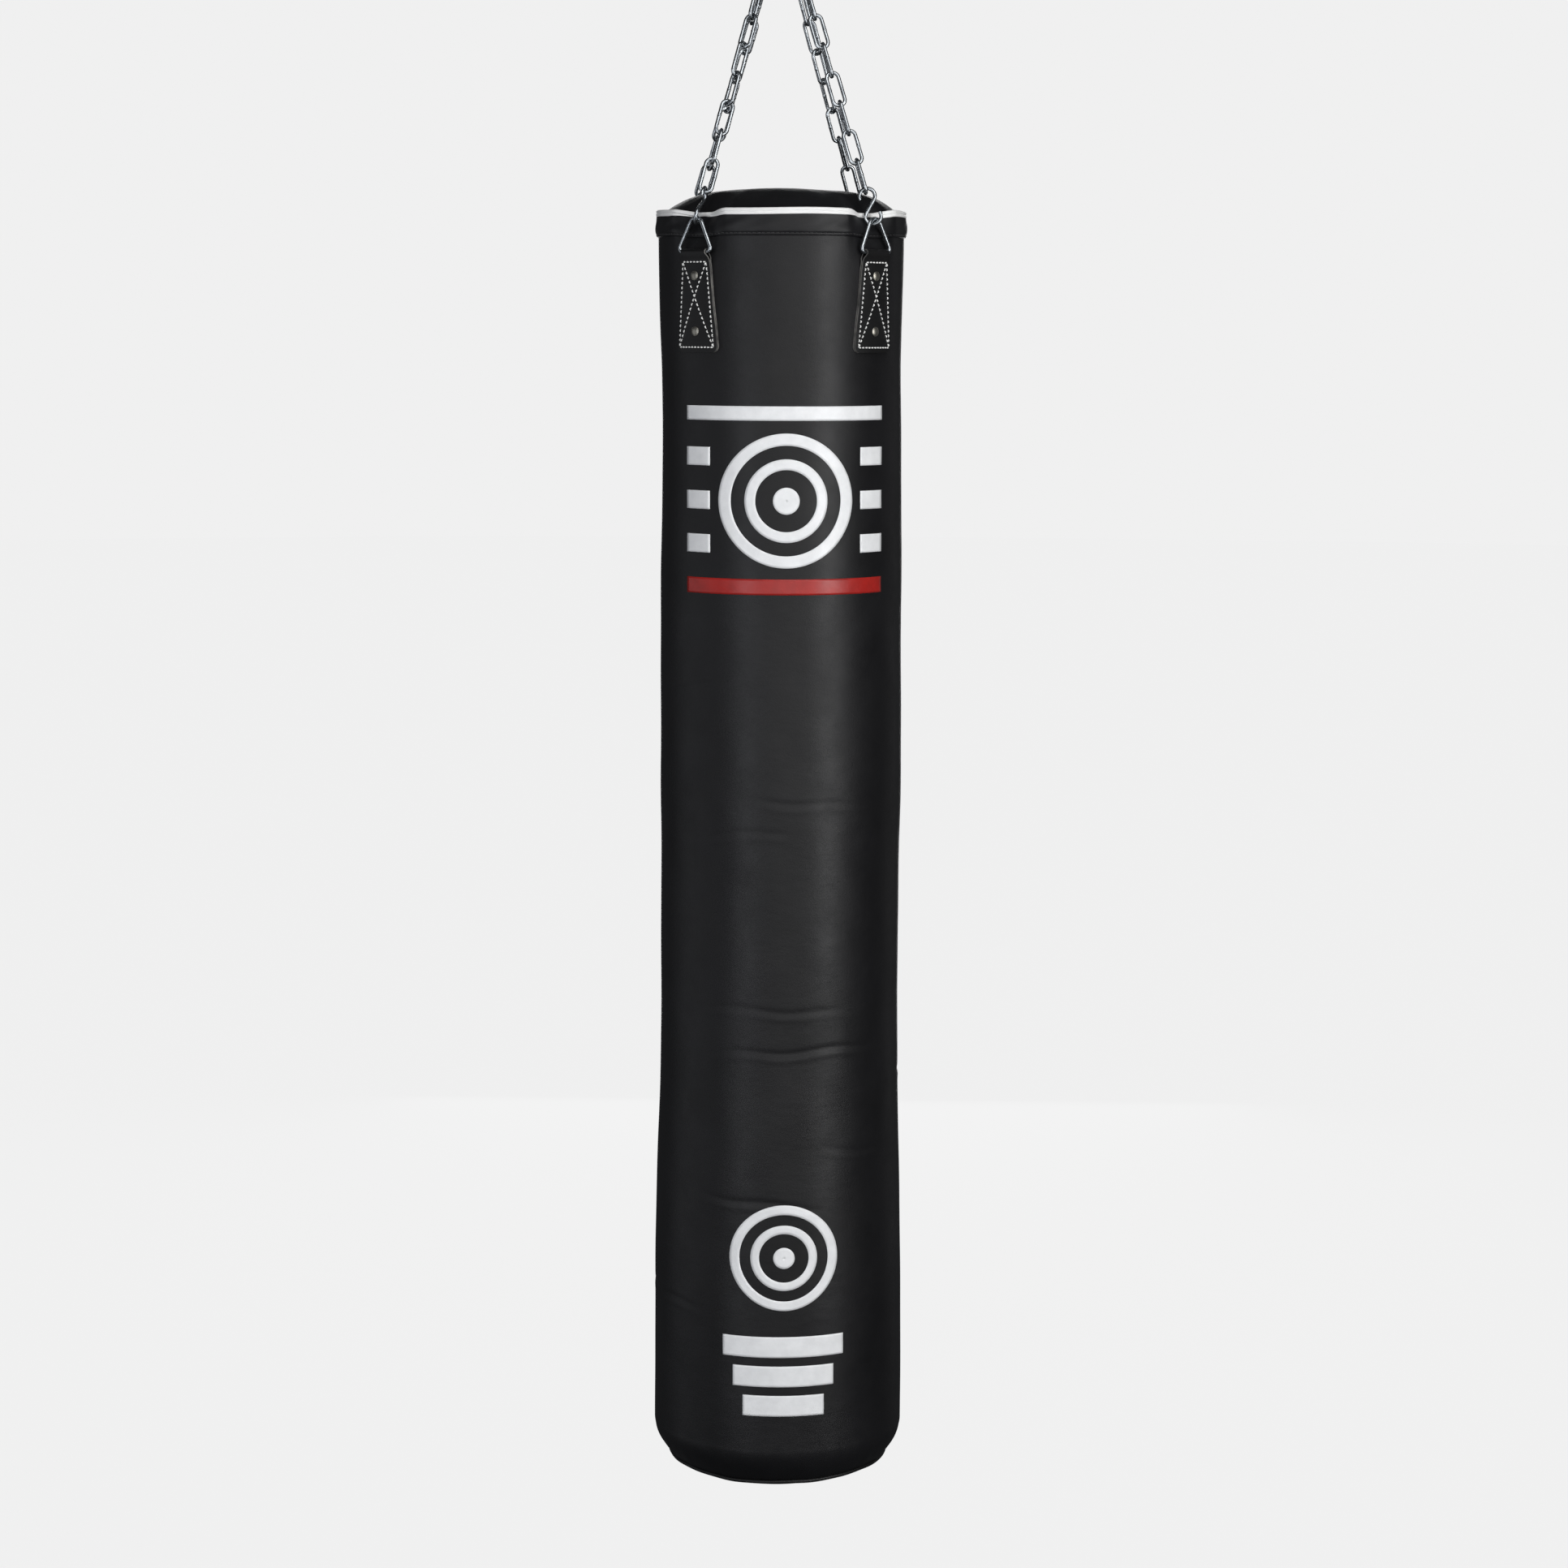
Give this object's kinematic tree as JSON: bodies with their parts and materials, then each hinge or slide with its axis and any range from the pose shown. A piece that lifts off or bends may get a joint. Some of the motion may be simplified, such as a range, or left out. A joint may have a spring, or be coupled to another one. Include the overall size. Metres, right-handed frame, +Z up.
{
  "type": "hanging heavy bag",
  "caption": "Tall cylindrical punching bag of black synthetic leather with white rim piping, hung from taut chains, a master ring and a ball-bearing swivel.",
  "frame": {"origin": "centre of the hole in the swivel's upper eye, where a ceiling hook or shackle pin goes", "axes": "+Z up along the bag's axis, +Y along the eye's hole towards the back, so the printed front faces -Y"},
  "size_m": [0.309, 0.3112, 2.0495],
  "materials": {
    "skin": "satin",
    "strap_leather": "satin",
    "piping_vinyl": "satin",
    "zinc_steel": "satin",
    "nickel": "polished",
    "patch_webbing": "matte",
    "foam": "matte",
    "sack_cloth": "matte",
    "filling": "matte",
    "zip_tape": "matte",
    "zip_teeth": "satin",
    "zip_metal": "satin",
    "white_print": "satin",
    "accent_print": "satin"
  },
  "bodies": {
    "hanger": {"swivel_upper_eye": "zinc_steel", "swivel_nut": "zinc_steel", "bearing_lower_race": "zinc_steel", "bearing_balls": "zinc_steel"},
    "swivel": {"bearing_upper_race": "zinc_steel", "swivel_housing": "zinc_steel", "swivel_lower_eye": "zinc_steel"},
    "ring": {"master_ring": "zinc_steel"},
    "bag": {"chain_front_left": "zinc_steel", "chain_front_right": "zinc_steel", "chain_back_left": "zinc_steel", "chain_back_right": "zinc_steel", "s_hook_front_left": "zinc_steel", "s_hook_front_right": "zinc_steel", "s_hook_back_left": "zinc_steel", "s_hook_back_right": "zinc_steel", "d_ring_front_left": "zinc_steel", "d_ring_front_right": "zinc_steel", "d_ring_back_left": "zinc_steel", "d_ring_back_right": "zinc_steel", "strap_front_left": "strap_leather", "strap_front_right": "strap_leather", "strap_back_left": "strap_leather", "strap_back_right": "strap_leather", "strap_rivets": "nickel", "rivet_washers": "nickel", "patch_front_left": "patch_webbing", "patch_front_right": "patch_webbing", "patch_back_left": "patch_webbing", "patch_back_right": "patch_webbing", "wall_skin": "skin", "top_hem_band": "skin", "rim_piping": "piping_vinyl", "top_cap": "skin", "back_seam_strip": "skin", "bottom_panel": "skin", "bottom_welt": "skin", "foam_lining": "foam", "inner_sack": "sack_cloth", "textile_filling": "filling", "zip_tape_front": "zip_tape", "zip_tape_back": "zip_tape", "zip_teeth_front": "zip_teeth", "zip_teeth_back": "zip_teeth", "zip_stops": "zip_metal", "print_header_bar": "white_print", "print_upper_target": "white_print", "print_side_bars": "white_print", "print_accent_stripe": "accent_print", "print_lower_target": "white_print", "print_lower_bars": "white_print"},
    "zip_runner": {"zip_slider": "zip_metal"},
    "zip_tab": {"zip_pull": "zip_metal"}
  },
  "joints": [
    {"name": "swivel_spin", "type": "hinge", "parent": "hanger", "child": "swivel", "pos_m": [0, 0, -0.04], "axis": [0, 0, 1], "continuous": true},
    {"name": "fore_aft_swing", "type": "hinge", "parent": "swivel", "child": "ring", "pos_m": [0, 0, -0.071], "axis": [1, 0, 0], "range_deg": [-35, 35]},
    {"name": "side_swing", "type": "hinge", "parent": "ring", "child": "bag", "pos_m": [0, 0, -0.095], "axis": [0, 1, 0], "range_deg": [-25, 25]},
    {"name": "zip_travel", "type": "slide", "parent": "bag", "child": "zip_runner", "axis": [1, 0, 0], "range_m": [0, 0.09]},
    {"name": "zip_tab_flip", "type": "hinge", "parent": "zip_runner", "child": "zip_tab", "pos_m": [-0.0515, 0.045, -0.4217], "axis": [0, -1, 0], "range_deg": [0, 150]}
  ]
}
